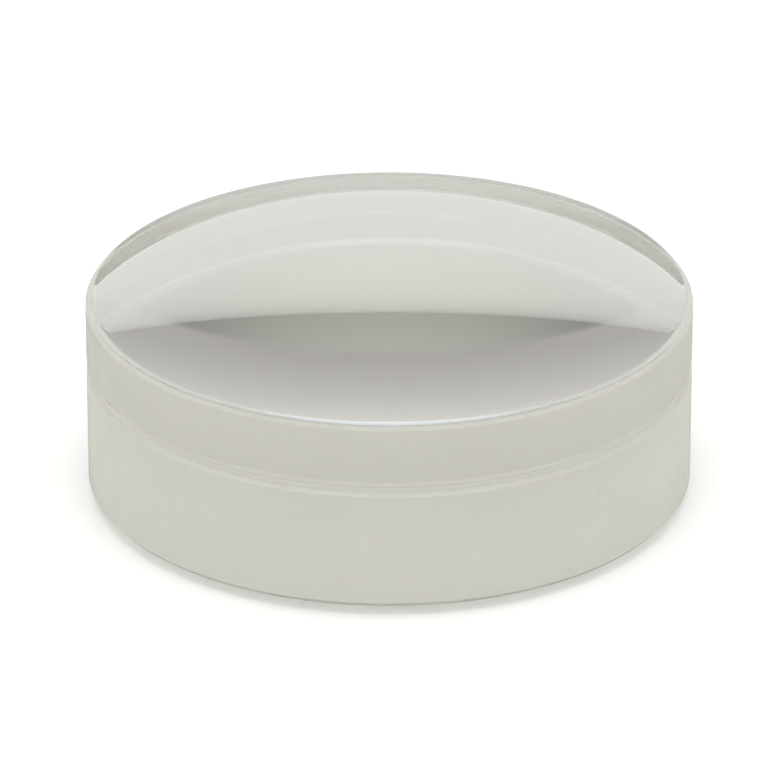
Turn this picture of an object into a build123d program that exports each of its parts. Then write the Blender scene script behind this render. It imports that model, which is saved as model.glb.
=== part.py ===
import os
from math import sqrt

from build123d import *

# A cemented achromatic doublet: a biconvex crown element above, seated with a thin film of
# cement in a flint element that is hollowed to fit it. All three are turned about the optical
# axis. Millimetres. The optical axis is Z, and the origin is the lowest point of the lower face.

# Each element's thinnest place: the flint's is on the axis, and the crown's at its edge
flint_thickness = 2.5
cement_thickness = 0.02
crown_edge_thickness = 2.69

# Radii of the faces
lower_face_radius = 230.7
interface_radius = 25.9
upper_face_radius = 41.7

# The ground edge, and the protective bevels as measured along the surfaces that meet there
lens_diameter = 25.4
rim_bevel = 0.2
crown_seam_bevel = 0.2
flint_seam_bevel = 0.45
cement_recess = 0.2  # the cement is wiped back this far inside the ground edge

edge_radius = lens_diameter / 2
hollow_radius = interface_radius + cement_thickness


def sag(face_radius):
    """How far a face of this radius curves away between the axis and the ground edge."""
    return face_radius - sqrt(face_radius**2 - edge_radius**2)


crown_thickness = sag(interface_radius) + crown_edge_thickness + sag(upper_face_radius)
crown_base = flint_thickness + cement_thickness
crown_top = crown_base + crown_thickness


# Crown element: convex on both faces, the steeper of them cemented
with BuildPart() as crown_element:
    with BuildSketch(Plane.XZ) as crown_profile:
        with BuildLine():
            cemented_rim = (edge_radius, crown_base + sag(interface_radius))
            upper_rim = (edge_radius, crown_top - sag(upper_face_radius))
            RadiusArc((0, crown_base), cemented_rim, -interface_radius)
            Line(cemented_rim, upper_rim)
            RadiusArc(upper_rim, (0, crown_top), -upper_face_radius)
            Line((0, crown_top), (0, crown_base))
        make_face()
        lower_corner, upper_corner = crown_profile.vertices().group_by(Axis.X)[-1].sort_by(Axis.Y)
        chamfer(lower_corner, length=crown_seam_bevel)
        chamfer(upper_corner, length=rim_bevel)
    revolve(axis=Axis.Z)

# Flint element: nearly flat below, and hollowed above to stay one film of cement off the crown
with BuildPart() as flint_element:
    with BuildSketch(Plane.XZ) as flint_profile:
        with BuildLine():
            lower_rim = (edge_radius, sag(lower_face_radius))
            hollow_rim = (edge_radius, flint_thickness + sag(hollow_radius))
            RadiusArc((0, 0), lower_rim, -lower_face_radius)
            Line(lower_rim, hollow_rim)
            RadiusArc(hollow_rim, (0, flint_thickness), hollow_radius)
            Line((0, flint_thickness), (0, 0))
        make_face()
        lower_corner, upper_corner = flint_profile.vertices().group_by(Axis.X)[-1].sort_by(Axis.Y)
        chamfer(lower_corner, length=rim_bevel)
        chamfer(upper_corner, length=flint_seam_bevel)
    revolve(axis=Axis.Z)

# Cement: the space left between the elements, out to a bead in the groove of the seam bevels
with BuildPart() as cement_layer:
    blank_base = flint_thickness / 2
    with BuildSketch(Plane.XY.offset(blank_base)):
        Circle(edge_radius - cement_recess)
    extrude(amount=cemented_rim[1] - blank_base)
    add(crown_element.part, mode=Mode.SUBTRACT)
    add(flint_element.part, mode=Mode.SUBTRACT)

crown_element.part.label = "crown_element"
flint_element.part.label = "flint_element"
cement_layer.part.label = "cement_layer"

os.makedirs("parts", exist_ok=True)
export_step(crown_element.part, "parts/crown_element.step")
export_step(flint_element.part, "parts/flint_element.step")
export_step(cement_layer.part, "parts/cement_layer.step")
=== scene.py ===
import math

import bpy
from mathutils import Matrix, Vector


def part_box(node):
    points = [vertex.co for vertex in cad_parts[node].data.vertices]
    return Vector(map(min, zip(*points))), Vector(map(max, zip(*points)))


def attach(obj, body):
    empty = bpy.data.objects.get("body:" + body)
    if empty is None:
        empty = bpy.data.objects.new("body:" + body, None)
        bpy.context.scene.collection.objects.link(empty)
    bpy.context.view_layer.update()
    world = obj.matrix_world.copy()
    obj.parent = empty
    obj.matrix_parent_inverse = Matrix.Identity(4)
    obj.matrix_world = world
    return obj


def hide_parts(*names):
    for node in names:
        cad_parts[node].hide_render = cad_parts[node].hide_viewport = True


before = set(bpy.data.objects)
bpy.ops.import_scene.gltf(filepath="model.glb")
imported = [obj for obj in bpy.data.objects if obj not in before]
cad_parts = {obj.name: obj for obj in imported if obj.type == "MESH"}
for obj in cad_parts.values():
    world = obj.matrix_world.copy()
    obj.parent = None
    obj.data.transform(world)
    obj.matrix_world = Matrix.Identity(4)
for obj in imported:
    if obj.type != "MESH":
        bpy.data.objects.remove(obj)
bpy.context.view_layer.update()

mm = 0.001
white = (1, 1, 1, 1)


# Shader expressions

class Wire:  # one socket of a node tree, for use in expressions
    def __init__(self, tree, socket=None):
        self.tree = tree
        self.socket = socket

    def node(self, kind, settings=None, inputs=None, output=0):
        made = self.tree.nodes.new(kind)
        for key, value in (settings or {}).items():
            setattr(made, key, value)
        for key, value in (inputs or {}).items():
            if isinstance(value, Wire):
                self.tree.links.new(value.socket, made.inputs[key])
            else:
                made.inputs[key].default_value = value
        return Wire(self.tree, made.outputs[output])

    def output(self, name):  # another output of the same node
        return Wire(self.tree, self.socket.node.outputs[name])

    def maths(self, operation, *values):
        return self.node("ShaderNodeMath", {"operation": operation}, dict(enumerate(values)))

    def __add__(self, other):
        return self.maths("ADD", self, other)

    def __radd__(self, other):
        return self.maths("ADD", other, self)

    def __sub__(self, other):
        return self.maths("SUBTRACT", self, other)

    def __rsub__(self, other):
        return self.maths("SUBTRACT", other, self)

    def __mul__(self, other):
        return self.maths("MULTIPLY", self, other)

    def __rmul__(self, other):
        return self.maths("MULTIPLY", other, self)

    def __truediv__(self, other):
        return self.maths("DIVIDE", self, other)

    def __rtruediv__(self, other):
        return self.maths("DIVIDE", other, self)

    def root(self):
        return self.maths("SQRT", self)

    def orMore(self, other):  # the larger of the two
        return self.maths("MAXIMUM", self, other)

    def rises(self, low, high):  # 0 below low, 1 above high, smooth between
        return self.node(
            "ShaderNodeMapRange",
            {"interpolation_type": "SMOOTHSTEP"},
            {"Value": self, "From Min": low, "From Max": high},
        )

    def slopes(self, low, high):  # the same, but straight between
        return self.node("ShaderNodeMapRange", None, {"Value": self, "From Min": low, "From Max": high})

    def blend(self, first, second):  # from one colour to the other, as this wire goes from 0 to 1
        return self.node("ShaderNodeMix", {"data_type": "RGBA"}, {0: self, 6: first, 7: second}, 2)


def coordinates(tree, kind):
    return Wire(tree).node("ShaderNodeTexCoord").output(kind)


def noise(place, size, detail=2):  # clouds of about this size, round a value of 0.5
    return place.node("ShaderNodeTexNoise", None, {"Vector": place, "Scale": 1 / size, "Detail": detail})


def split(wire):  # the X, Y and Z of a point or a direction
    parts = wire.node("ShaderNodeSeparateXYZ", None, {0: wire})
    return [parts.output(axis) for axis in "XYZ"]


def rayKinds(wire):  # 1 for what the camera sees, what a reflection shows and what shows through glass
    rays = wire.node("ShaderNodeLightPath")
    return [rays.output(f"Is {kind} Ray") for kind in ("Camera", "Glossy", "Transmission")]


def rgb(red, green, blue):  # a colour as a picture shows it, made linear
    def linear(c):
        return c / 12.92 if c <= 0.04045 else ((c + 0.055) / 1.055) ** 2.4

    return (linear(red), linear(green), linear(blue), 1)


def darker(colour, share):
    return tuple(part * share for part in colour[:3]) + (1,)


def newMaterial(name, constants):
    material = bpy.data.materials.new(name)
    material.use_nodes = True
    shader = material.node_tree.nodes["Principled BSDF"]
    for socket, value in constants.items():
        shader.inputs[socket].default_value = value
    return material, shader


def feed(node, socket, wire):
    wire.tree.links.new(wire.socket, node.inputs[socket])


# Polished faces and the joint

glass = {
    "crownIndex": 1.62,
    "flintIndex": 1.68,
    "coatTint": (0.42, 0.40, 0.52, 1),  # what the coating leaves of the reflection
    "bodyTint": (0.99, 0.99, 0.97, 1),
    "haze": 0.006,  # roughness, in faint clouds
    "hazeSize": 3.0 * mm,
    "hazeSpan": (0.55, 0.8),  # the noise over which it sets in
}
crownIndex, flintIndex = glass["crownIndex"], glass["flintIndex"]


def polishedGlass(name, index):
    material, shader = newMaterial(name, {
        "IOR": index,
        "Transmission Weight": 1,
        "Specular Tint": glass["coatTint"],
        "Base Color": glass["bodyTint"],
    })
    cloud = noise(coordinates(material.node_tree, "Object"), glass["hazeSize"])
    feed(shader, "Roughness", cloud.rises(*glass["hazeSpan"]) * glass["haze"])
    return material


def clearJoint(name, index):  # where glass meets cement, so only the step in index shows
    material, _ = newMaterial(name, {
        "IOR": index,
        "Transmission Weight": 1,
        "Roughness": 0,
        "Base Color": white,
    })
    return material


crownFace = polishedGlass("crownPolished", crownIndex)
flintFace = polishedGlass("flintPolished", flintIndex)
crownJoint = clearJoint("crownToCement", 1.0)
flintJoint = clearJoint("cementToFlint", flintIndex / crownIndex)


# Ground edge, its bevels and its rounded corner

ground = {
    "crownTone": rgb(0.972, 0.967, 0.938),
    "flintTone": rgb(1, 0.996, 0.963),
    "cloudShare": 0.975,  # what the faint clouds leave of the tone
    "cloudSize": 1.1 * mm,
    "cloudSpan": (0.35, 0.65),
    "cloudDetail": 6,
    "speckTone": rgb(0.93, 0.91, 0.85),
    "speckShare": 0.4,  # how far a speck takes on that tone
    "speckSize": 0.35 * mm,
    "speckSpan": (0.66, 0.74),
    "grainSize": 0.06 * mm,
    "grainDetail": 3,
    "grainHeight": 0.01 * mm,
    "grainStrength": 0.15,
    "grainRoughness": 0.2,  # how much the roughness varies with the grain
}
crownTone, flintTone = ground["crownTone"], ground["flintTone"]

groundFinishes = {  # index, tone, the share of the light let in, and roughness
    "crownGround": (crownIndex, crownTone, 0.75, 0.62),
    "flintGround": (flintIndex, flintTone, 0.68, 0.88),
    "crownBevel": (crownIndex, crownTone, 0.68, 0.5),
    "flintBevel": (flintIndex, flintTone, 0.68, 0.5),
    # painted shade: the foot bevel, next to the floor, is a quarter darker than the flint
    "flintFootBevelShaded": (flintIndex, darker(flintTone, 0.75), 0.9, 0.45),
    "cementEdge": (1.56, flintTone, 0.68, 0.45),
}

rounded = {
    "index": 1.9,
    "glint": (0.6, 0.76, 1.0, 1),
    "share": 0.76,  # of the ground glass's tone
    "transmission": 0.65,
    "roughness": 0.13,
    "cloudRoughness": 0.04,
    "cloudDetail": 4,
}


def clouded(tone, cloud):
    return cloud.rises(*ground["cloudSpan"]).blend(darker(tone, ground["cloudShare"]), tone)


def groundGlass(name, index, tone, transmission, roughness):
    material, shader = newMaterial(name, {"IOR": index, "Transmission Weight": transmission})
    place = coordinates(material.node_tree, "Object")
    cloud = noise(place, ground["cloudSize"], ground["cloudDetail"])
    grain = noise(place, ground["grainSize"], ground["grainDetail"])
    speck = noise(place, ground["speckSize"]).rises(*ground["speckSpan"]) * ground["speckShare"]
    feed(shader, "Base Color", speck.blend(clouded(tone, cloud), ground["speckTone"]))
    feed(shader, "Roughness", (grain - 0.5) * ground["grainRoughness"] + roughness)
    relief = {"Strength": ground["grainStrength"], "Distance": ground["grainHeight"], "Height": grain}
    feed(shader, "Normal", grain.node("ShaderNodeBump", None, relief))
    return material


def roundedGlass(name):  # the polished corner inside the upper bevel, which catches the softbox
    material, shader = newMaterial(name, {
        "IOR": rounded["index"],
        "Transmission Weight": rounded["transmission"],
        "Specular Tint": rounded["glint"],
    })
    place = coordinates(material.node_tree, "Object")
    cloud = noise(place, ground["cloudSize"], rounded["cloudDetail"])
    feed(shader, "Base Color", clouded(darker(crownTone, rounded["share"]), cloud))
    feed(shader, "Roughness", cloud * rounded["cloudRoughness"] + rounded["roughness"])
    return material


finishes = {name: groundGlass(name, *values) for name, values in groundFinishes.items()}
crownCorner = roundedGlass("crownCorner")
print("finishes ready")


# Turned pieces

turning = {
    "roundSteps": 288,
    "faceSteps": 80,
    "wallSteps": 6,
    "roundedSteps": 6,
    "beadSteps": 2,
    "weld": 0.0005 * mm,
    "smoothUpTo": 12,  # degrees from one face to the next
}
wallUp = 0.1  # the most that the faces of a ground wall point up or down
jointUp = 0.8  # the least that those of the joint do


def startProfile(name, height):  # a single vertex on the optical axis
    bpy.ops.object.select_all(action="DESELECT")
    bpy.ops.mesh.primitive_plane_add(size=mm)
    piece = bpy.context.object
    piece.name = piece.data.name = name
    bpy.ops.object.mode_set(mode="EDIT")
    bpy.ops.mesh.select_mode(type="VERT")
    bpy.ops.mesh.merge(type="CENTER")
    bpy.ops.transform.translate(value=(0, 0, height))
    return piece


def line(start, end, steps=1):  # start is where the profile has got to
    stride = ((end[0] - start[0]) / steps, 0, (end[1] - start[1]) / steps)
    for _ in range(steps):
        bpy.ops.mesh.extrude_region_move(TRANSFORM_OT_translate={"value": stride})


def arc(angle, centre, steps):  # from Z towards X where the angle is positive
    bpy.ops.mesh.spin(steps=steps, angle=-angle, center=(centre[0], 0, centre[1]), axis=(0, 1, 0))


def turnProfile():  # round the optical axis, closed at the poles, faces outwards
    bpy.ops.mesh.select_all(action="SELECT")
    bpy.ops.mesh.spin(steps=turning["roundSteps"], angle=2 * math.pi, center=(0, 0, 0), axis=(0, 0, 1))
    bpy.ops.mesh.select_all(action="SELECT")
    bpy.ops.mesh.remove_doubles(threshold=turning["weld"])
    bpy.ops.mesh.normals_make_consistent(inside=False)
    bpy.ops.mesh.select_all(action="DESELECT")
    bpy.ops.object.mode_set(mode="OBJECT")


def paint(piece, choose):  # choose gives a face's finish from its radius and its normal
    materials = piece.data.materials
    for face in piece.data.polygons:
        centre, normal = face.center, face.normal
        radius = math.hypot(centre.x, centre.y)
        outward = (centre.x * normal.x + centre.y * normal.y) / radius
        material = choose(radius, outward, normal.z)
        if material.name not in materials:
            materials.append(material)
        face.material_index = materials.find(material.name)


def settle(piece, node):  # smooth, riding on the frame and standing for its CAD node
    bpy.ops.object.select_all(action="DESELECT")
    bpy.context.view_layer.objects.active = piece
    piece.select_set(True)
    bpy.ops.object.shade_smooth_by_angle(angle=math.radians(turning["smoothUpTo"]))
    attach(piece, "root")
    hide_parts(node)


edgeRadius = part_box("crown_element")[1].x
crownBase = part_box("crown_element")[0].z
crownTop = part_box("crown_element")[1].z
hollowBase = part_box("cement_layer")[0].z


def sag(radius, out=edgeRadius):  # how far a face of this radius has curved away out there
    return radius - math.sqrt(radius**2 - out**2)


def reach(radius, out=edgeRadius):  # the angle that an arc of this radius takes to get out there
    return math.asin(out / radius)


# Crown element

crownSizes = {
    "upperRadius": 41.7 * mm,
    "interfaceRadius": 25.9 * mm,
    "rimBevel": 0.2 * mm,
    "rimRound": 0.12 * mm,  # how far polishing has rounded the corner inside the bevel
    "seamBevel": 0.2 * mm,
}
upperRadius, interfaceRadius = crownSizes["upperRadius"], crownSizes["interfaceRadius"]
rimBevel, rimRound, crownSeam = crownSizes["rimBevel"], crownSizes["rimRound"], crownSizes["seamBevel"]

crownWallTop = (edgeRadius, crownTop - sag(upperRadius) - rimBevel)
crownWallEnd = (edgeRadius, crownBase + sag(interfaceRadius) + crownSeam)
domeTilt = reach(upperRadius)
cornerOut = edgeRadius - rimBevel * math.cos(domeTilt)
cornerHeight = crownTop - sag(upperRadius, cornerOut)
bevelTilt = math.atan2(cornerHeight - crownWallTop[1], edgeRadius - cornerOut)
roundRadius = rimRound / math.tan((bevelTilt - domeTilt) / 2)
roundOut = cornerOut - rimRound * math.cos(domeTilt)
roundTilt = reach(upperRadius, roundOut)
roundX = roundOut - roundRadius * math.sin(roundTilt)
roundZ = crownTop - sag(upperRadius, roundOut) - roundRadius * math.cos(roundTilt)
roundEnd = (roundX + roundRadius * math.sin(bevelTilt), roundZ + roundRadius * math.cos(bevelTilt))
seamOut = edgeRadius - crownSeam * math.cos(reach(interfaceRadius))
seamEnd = (seamOut, crownBase + sag(interfaceRadius, seamOut))

crown = startProfile("crown", crownTop)
arc(roundTilt, (0, crownTop - upperRadius), turning["faceSteps"])
arc(bevelTilt - roundTilt, (roundX, roundZ), turning["roundedSteps"])
line(roundEnd, crownWallTop)
line(crownWallTop, crownWallEnd, turning["wallSteps"])
line(crownWallEnd, seamEnd)
arc(reach(interfaceRadius, seamOut), (0, crownBase + interfaceRadius), turning["faceSteps"])
turnProfile()

domeUp = math.cos(domeTilt)
roundedUp = math.cos(bevelTilt) + 0.01  # a little more than the faces of the bevel point up


def crownFinish(radius, outward, up):
    if up > domeUp:
        return crownFace
    if radius > roundX and up > roundedUp:
        return crownCorner
    if up < -jointUp:
        return crownJoint
    return finishes["crownGround" if abs(up) < wallUp else "crownBevel"]


paint(crown, crownFinish)
settle(crown, "crown_element")
print("crown element turned")


# Flint element

flintSizes = {
    "lowerRadius": 230.7 * mm,
    "footBevel": 0.2 * mm,
    "seamBevel": 0.45 * mm,
}
lowerRadius = flintSizes["lowerRadius"]
footBevel, flintSeam = flintSizes["footBevel"], flintSizes["seamBevel"]

hollowRadius = interfaceRadius + (crownBase - hollowBase)
hollowTilt = reach(hollowRadius)
lowerOut = edgeRadius - footBevel * math.cos(reach(lowerRadius))
lowerEnd = (lowerOut, sag(lowerRadius, lowerOut))
flintWallFoot = (edgeRadius, sag(lowerRadius) + footBevel)
flintWallTop = (edgeRadius, hollowBase + sag(hollowRadius) - flintSeam)
hollowOut = edgeRadius - flintSeam * math.cos(hollowTilt)
hollowEnd = (hollowOut, hollowBase + sag(hollowRadius, hollowOut))

flint = startProfile("flint", 0)
arc(-reach(lowerRadius, lowerOut), (0, lowerRadius), turning["faceSteps"])
line(lowerEnd, flintWallFoot)
line(flintWallFoot, flintWallTop, turning["wallSteps"])
line(flintWallTop, hollowEnd)
arc(reach(hollowRadius, hollowOut), (0, hollowBase + hollowRadius), turning["faceSteps"])
turnProfile()

lowerFaceUp = -0.95  # the most that the faces of the lower face point up
hollowOutward = 0.02  # the most that those of the hollow point outwards


def flintFinish(radius, outward, up):
    if up < lowerFaceUp:
        return flintFace
    if up > jointUp and outward < hollowOutward:
        return flintJoint
    if abs(up) < wallUp:
        return finishes["flintGround"]
    return finishes["flintFootBevelShaded" if up < 0 else "flintBevel"]


paint(flint, flintFinish)
settle(flint, "flint_element")
print("flint element turned")


# Cement, a film that ends in a bead

cementSizes = {
    "recess": 0.2 * mm,
    "opticalGap": 0.004 * mm,  # keeps touching faces from being drawn as one
}
recess, gap = cementSizes["recess"], cementSizes["opticalGap"]

centreZ = crownBase + interfaceRadius
topRadius = interfaceRadius + gap
bottomRadius = hollowRadius - gap
filmOut = hollowOut - gap
filmEnd = (filmOut, centreZ - bottomRadius + sag(bottomRadius, filmOut))
beadOut = edgeRadius - recess
beadTop = (beadOut, centreZ - topRadius + sag(topRadius, beadOut))
bevelSlope = (1 - math.sin(hollowTilt)) / math.cos(hollowTilt)
beadFoot = (beadOut, flintWallTop[1] + bevelSlope * recess + gap)

cement = startProfile("cement", centreZ - topRadius)
arc(-reach(topRadius, beadOut), (0, centreZ), turning["faceSteps"])
line(beadTop, beadFoot, turning["beadSteps"])
line(beadFoot, filmEnd)
arc(reach(bottomRadius, filmOut), (0, centreZ), turning["faceSteps"])
turnProfile()

beadOutward = 0.9  # the least that the faces of the bead point outwards


def cementFinish(radius, outward, up):
    return finishes["cementEdge"] if outward > beadOutward and radius > filmOut else crownJoint


paint(cement, cementFinish)
settle(cement, "cement_layer")
print("cement turned")


# Floor

floorLook = {
    "size": 30,  # metres
    "seen": white,  # by the camera and through the glass
    "mirrored": (0.66, 0.66, 0.65, 1),  # in a reflection
    "given": (0.85, 0.85, 0.85, 1),  # and as a source of light
    "axisGlow": 0.42,  # how far it glows as seen through the glass, at the optical axis
    "axisSpan": (2 * mm, 4.5 * mm),
    "nearGlow": 0.35,  # from there outwards
    "glowSpan": (6.5 * mm, 13 * mm),
    "farGlow": 0.72,  # near the rim
    "glowTone": (0.86, 0.86, 0.85, 1),
    "farSpan": (13 * mm, 16 * mm),
    "paintedFarShade": (0.5, 0.5, 0.49, 1),  # painted shade: beyond the rim the painted glow is darker, as seen through the ground edge
}

bpy.ops.object.select_all(action="DESELECT")
bpy.ops.mesh.primitive_plane_add(size=floorLook["size"])
floor = bpy.context.object
floor.name = "floor"
floorMaterial, floorShader = newMaterial("paleFloor", {"Roughness": 1, "Specular IOR Level": 0})
floorTree = floorMaterial.node_tree
place = coordinates(floorTree, "Object")
cameraRay, glossyRay, glassRay = rayKinds(place)
floorTone = glossyRay.blend(floorLook["given"], floorLook["mirrored"])
feed(floorShader, "Base Color", cameraRay.orMore(glassRay).blend(floorTone, floorLook["seen"]))

floorX, floorY, _ = split(place)
fromAxis = (floorX * floorX + floorY * floorY).root()
nearGlow = floorLook["nearGlow"]
glow = fromAxis.rises(*floorLook["glowSpan"]) * (floorLook["farGlow"] - nearGlow)
glow = glow + (1 - fromAxis.rises(*floorLook["axisSpan"])) * (floorLook["axisGlow"] - nearGlow)
glow = (glow + nearGlow) * glassRay
# painted light on the floor under the lens, giving way to painted shade beyond the rim
glowTone = fromAxis.rises(*floorLook["farSpan"]).blend(floorLook["glowTone"], floorLook["paintedFarShade"])
glowing = glow.node("ShaderNodeEmission", None, {"Color": glowTone, "Strength": 1})
plain = Wire(floorTree, floorShader.outputs[0])
floorSurface = glow.node("ShaderNodeMixShader", None, {0: glow, 1: plain, 2: glowing})
feed(floorTree.nodes["Material Output"], "Surface", floorSurface)
floor.data.materials.append(floorMaterial)


# Light tent, with a grey card behind the lens

tent = {  # a height here is the sine of an elevation
    "sides": rgb(1, 1, 0.99),
    "sideBand": rgb(0.86, 0.86, 0.85),  # halfway up the sides, as the glass shows them
    "bandStart": (0, 0.3),
    "bandEnd": (0.45, 0.8),
    "cardSpan": (0.78, 0.88),  # how squarely behind the lens the card begins
    "foot": rgb(0.92, 0.92, 0.91),  # of the card, where it meets the floor
    "lowHeight": 0.09,
    "low": rgb(0.8065, 0.796, 0.7745),
    "middle": rgb(0.643, 0.632, 0.623),
    "edgeHeight": 0.435,  # where the middle ends
    "edgeRise": 0.42,  # and how much higher that is to the side
    "edgeBlur": 0.012,
    "sideShare": 0.4,  # how far the card takes on the tone of the sides there
    "high": rgb(0.677, 0.672, 0.646),
    "highSpan": (0.45, 0.54),
    "highTop": rgb(0.638, 0.647, 0.61),
    "highEnds": rgb(0.537, 0.533, 0.52),
    "endsAside": 1 / 9,  # how far to the side those are, squared
    "topSpan": (0.80, 0.93),  # where the card gives way to the roof
}
leastLevel = 0.001  # keeps straight up from a division by 0

world = bpy.data.worlds.new("tent")
bpy.context.scene.world = world
world.use_nodes = True
direction = coordinates(world.node_tree, "Generated")
cameraRay, glossyRay, _ = rayKinds(direction)
x, y, z = split(direction)
level = (x * x + y * y).root().orMore(leastLevel)
sideways = x / level
aside = sideways * sideways
behind = (y / level).rises(*tent["cardSpan"])
card = z.slopes(tent["lowHeight"], tent["edgeHeight"]).blend(tent["low"], tent["middle"])
card = (aside * tent["sideShare"]).blend(card, tent["sides"])
card = z.slopes(0, tent["lowHeight"]).blend(tent["foot"], card)
high = z.slopes(*tent["highSpan"]).blend(tent["high"], tent["highTop"])
high = aside.slopes(0, tent["endsAside"]).blend(high, tent["highEnds"])
edge = aside * tent["edgeRise"] + tent["edgeHeight"]
card = (z - edge).rises(-tent["edgeBlur"], tent["edgeBlur"]).blend(card, high)
card = z.rises(*tent["topSpan"]).blend(card, tent["sides"])
band = z.rises(*tent["bandStart"]) * (1 - z.rises(*tent["bandEnd"])) * glossyRay
sky = behind.blend(band.blend(tent["sides"], tent["sideBand"]), card)
feed(world.node_tree.nodes["Background"], "Color", cameraRay.blend(sky, white))

softbox = {
    "width": 46,  # degrees of sky that it fills
    "level": 0.95,
}
bpy.ops.object.light_add(type="SUN", location=(0, 0, 1))
lamp = bpy.context.object
lamp.name = "overheadSoftbox"
lamp.data.angle = math.radians(softbox["width"])
lamp.data.energy = softbox["level"]
print("studio lit")


# Camera

view = {
    "distance": 0.320,
    "elevation": 25.5,
    "target": 4.7 * mm,
    "tilt": -0.093,  # degrees, which lifts the lens in the frame
    "aside": 0.03 * mm,
    "lens": 351.5,
    "clipStart": 0.01,
}
glassBounces = 32  # light meets the joint's four surfaces at every crossing

rise = math.radians(view["elevation"])
back, above = view["distance"] * math.cos(rise), view["distance"] * math.sin(rise)
bpy.ops.object.camera_add(
    location=(view["aside"], -back, view["target"] + above),
    rotation=(math.radians(90 - view["elevation"] + view["tilt"]), 0, 0),
)
camera = bpy.context.object
camera.data.lens = view["lens"]
camera.data.clip_start = view["clipStart"]
bpy.context.scene.camera = camera
bpy.context.scene.cycles.max_bounces = glassBounces
bpy.context.scene.cycles.transmission_bounces = glassBounces
bpy.context.scene.view_settings.view_transform = "Standard"
print("camera placed")
